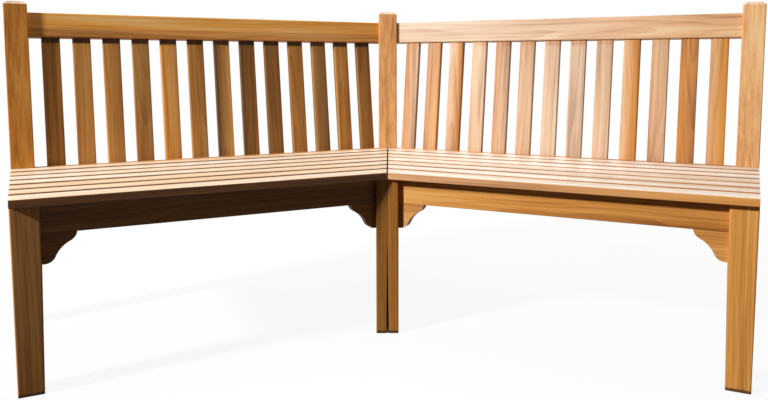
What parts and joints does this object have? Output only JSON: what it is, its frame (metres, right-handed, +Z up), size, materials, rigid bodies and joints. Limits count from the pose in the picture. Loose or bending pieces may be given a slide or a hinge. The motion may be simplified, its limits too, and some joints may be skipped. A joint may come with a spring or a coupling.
{
  "type": "corner bench",
  "caption": "Wooden corner bench: two mirrored slatted-back arms meet at an obtuse mitred corner, on square legs with aprons and shaped brackets.",
  "frame": {"origin": "on the floor, at the centre of the bounding box", "axes": "+X to the right along the bench's width as seen from in front of the corner, +Y towards the back of the corner, +Z up; the two arms mirror each other in X = 0"},
  "size_m": [2.1042, 1.0712, 0.885],
  "materials": {
    "frame_wood": "oiled",
    "slat_wood": "oiled",
    "seat_wood": "oiled",
    "plug_wood": "oiled",
    "stainless_steel": "satin"
  },
  "bodies": {
    "root": {"back_post_left": "frame_wood", "half_back_post_left": "frame_wood", "front_leg_left": "frame_wood", "half_front_leg_left": "frame_wood", "top_rail_left": "frame_wood", "seat_back_rail_left": "frame_wood", "front_apron_left": "frame_wood", "end_bearer_left": "frame_wood", "middle_bearer_left": "frame_wood", "corner_bearer_left": "frame_wood", "end_bracket_left": "frame_wood", "corner_bracket_left": "frame_wood", "back_slats_left": "slat_wood", "frame_pegs_left": "plug_wood", "bracket_dowels_left": "plug_wood", "seat_plugs_left": "plug_wood", "seat_screws_left": "stainless_steel", "seat_board_1_left": "seat_wood", "seat_board_2_left": "seat_wood", "seat_board_3_left": "seat_wood", "seat_board_4_left": "seat_wood", "seat_board_5_left": "seat_wood", "seat_board_6_left": "seat_wood", "seat_board_7_left": "seat_wood", "back_post_right": "frame_wood", "half_back_post_right": "frame_wood", "front_leg_right": "frame_wood", "half_front_leg_right": "frame_wood", "top_rail_right": "frame_wood", "seat_back_rail_right": "frame_wood", "front_apron_right": "frame_wood", "end_bearer_right": "frame_wood", "middle_bearer_right": "frame_wood", "corner_bearer_right": "frame_wood", "end_bracket_right": "frame_wood", "corner_bracket_right": "frame_wood", "back_slats_right": "slat_wood", "frame_pegs_right": "plug_wood", "bracket_dowels_right": "plug_wood", "seat_plugs_right": "plug_wood", "seat_screws_right": "stainless_steel", "seat_board_1_right": "seat_wood", "seat_board_2_right": "seat_wood", "seat_board_3_right": "seat_wood", "seat_board_4_right": "seat_wood", "seat_board_5_right": "seat_wood", "seat_board_6_right": "seat_wood", "seat_board_7_right": "seat_wood", "joining_bolts": "stainless_steel", "joining_sleeves": "stainless_steel"}
  },
  "joints": []
}
